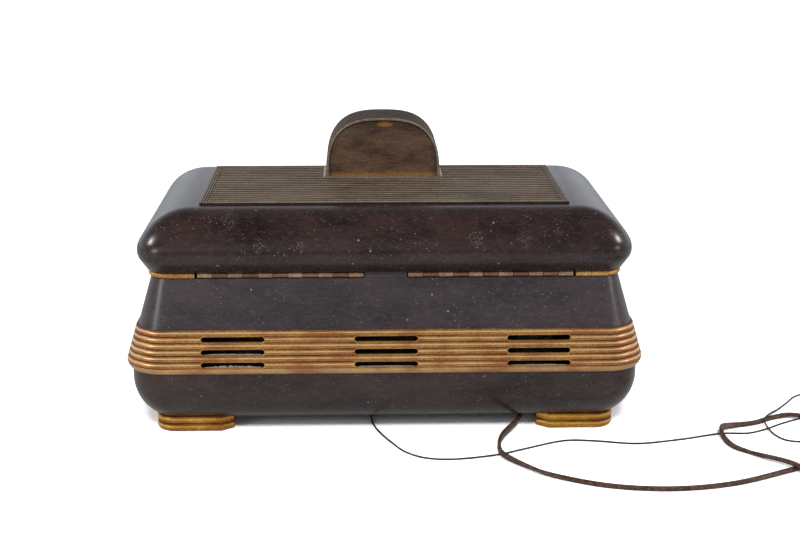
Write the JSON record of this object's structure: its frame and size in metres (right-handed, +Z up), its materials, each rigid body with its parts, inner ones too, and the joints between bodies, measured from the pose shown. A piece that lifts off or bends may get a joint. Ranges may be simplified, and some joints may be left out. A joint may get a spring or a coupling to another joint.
{
  "type": "radio receiver",
  "caption": "Table radio in a metal chest: flared body with a ribbed band and bowl, hinged domed lid with a crest, controls and dial under the lid, mains cord and aerial wire.",
  "frame": {"origin": "on the resting surface, under the middle of the case, measured without the cords", "axes": "+Z up; +Y towards the hinged back; -Y towards the front; +X towards the object's own left"},
  "size_m": [0.6161, 0.3591, 0.2223],
  "materials": {
    "case_lacquer": "semi-gloss brown lacquer, worn",
    "band_gilt": "antique gold wash over ribs, dark in the grooves",
    "feet_gilt": "antique gold wash, worn brighter",
    "crest_bronze": "dull bronze, gold in the grooves",
    "hinge_brass": "tarnished, worn bright on the knuckles",
    "plain_steel": "plated, dull",
    "tinned_steel": "tinned",
    "can_aluminium": "satin",
    "tube_enamel": "black enamel",
    "brown_plastic": "polished dark brown moulding",
    "soft_rubber": "matte",
    "dial_card": "cream with plain numbers",
    "dial_lens": "clear, slightly yellowed",
    "baffle_board": "raw",
    "speaker_cloth": "woven",
    "cone_paper": "matte",
    "wax_paper": "waxed",
    "mains_rubber": "brown, dull",
    "plug_moulding": "dark brown moulding, brass blades",
    "aerial_cover": "dark brown, thin"
  },
  "bodies": {
    "base": {"upper_body": "case_lacquer", "lower_bowl": "case_lacquer", "control_deck": "case_lacquer", "ribbed_band": "band_gilt", "rim_moulding": "band_gilt", "foot_back_left": "feet_gilt", "foot_back_right": "feet_gilt", "foot_front_left": "feet_gilt", "foot_front_right": "feet_gilt", "dial_escutcheon": "crest_bronze", "hinge_base_left": "hinge_brass", "hinge_base_right": "hinge_brass", "hinge_base_screws": "hinge_brass", "tuning_bush": "hinge_brass", "bottom_plate": "plain_steel", "corner_posts": "plain_steel", "foot_screws": "plain_steel", "hinge_pins": "plain_steel", "deck_screws": "plain_steel", "chassis_screws": "plain_steel", "drive_bracket": "plain_steel", "speaker_basket": "plain_steel", "chassis_pan": "tinned_steel", "gang_frame": "tinned_steel", "gang_stator": "tinned_steel", "speaker_magnet": "tinned_steel", "volume_control": "tinned_steel", "output_transformer": "tinned_steel", "power_transformer": "tinned_steel", "coil_cans": "can_aluminium", "filter_capacitor": "can_aluminium", "metal_tubes": "tube_enamel", "tube_sockets": "brown_plastic", "rim_bumpers": "soft_rubber", "cord_grip": "soft_rubber", "aerial_bush": "soft_rubber", "dial_window": "dial_lens", "speaker_baffle": "baffle_board", "grille_cloth": "speaker_cloth", "speaker_cone": "cone_paper", "under_chassis_parts": "wax_paper", "mains_cord": "mains_rubber", "mains_coil": "mains_rubber", "mains_plug": "plug_moulding", "aerial_wire": "aerial_cover", "aerial_coil": "aerial_cover"},
    "lid": {"lid_shell": "case_lacquer", "lid_panel": "crest_bronze", "crest_shell": "crest_bronze", "crest_back_plate": "crest_bronze", "crest_front_plate": "crest_bronze", "crest_screws": "plain_steel", "hinge_lid_left": "hinge_brass", "hinge_lid_right": "hinge_brass"},
    "dial": {"dial_disc": "dial_card", "gang_rotor": "plain_steel"},
    "tuning": {"tuning_knob": "brown_plastic", "tuning_shaft": "hinge_brass"},
    "volume": {"volume_knob": "brown_plastic", "volume_shaft": "plain_steel"}
  },
  "joints": [
    {"name": "lid_hinge", "type": "hinge", "parent": "base", "child": "lid", "pos_m": [0, 0.101, 0.12555], "axis": [-1, 0, 0], "range_deg": [0, 100]},
    {"name": "dial_turn", "type": "hinge", "parent": "base", "child": "dial", "pos_m": [0, 0.005, 0.115], "axis": [0, 0, 1], "range_deg": [0, 180]},
    {"name": "tuning_turn", "type": "hinge", "parent": "base", "child": "tuning", "pos_m": [0.03995, -0.04261, 0.13], "axis": [0, 0, 1], "range_deg": [-1680, 0]},
    {"name": "volume_turn", "type": "hinge", "parent": "base", "child": "volume", "pos_m": [-0.03995, -0.04261, 0.13], "axis": [0, 0, 1], "range_deg": [-300, 0]}
  ],
  "couplings": [
    {"joint": "tuning_turn", "follows": "dial_turn", "ratio": -9.333}
  ]
}
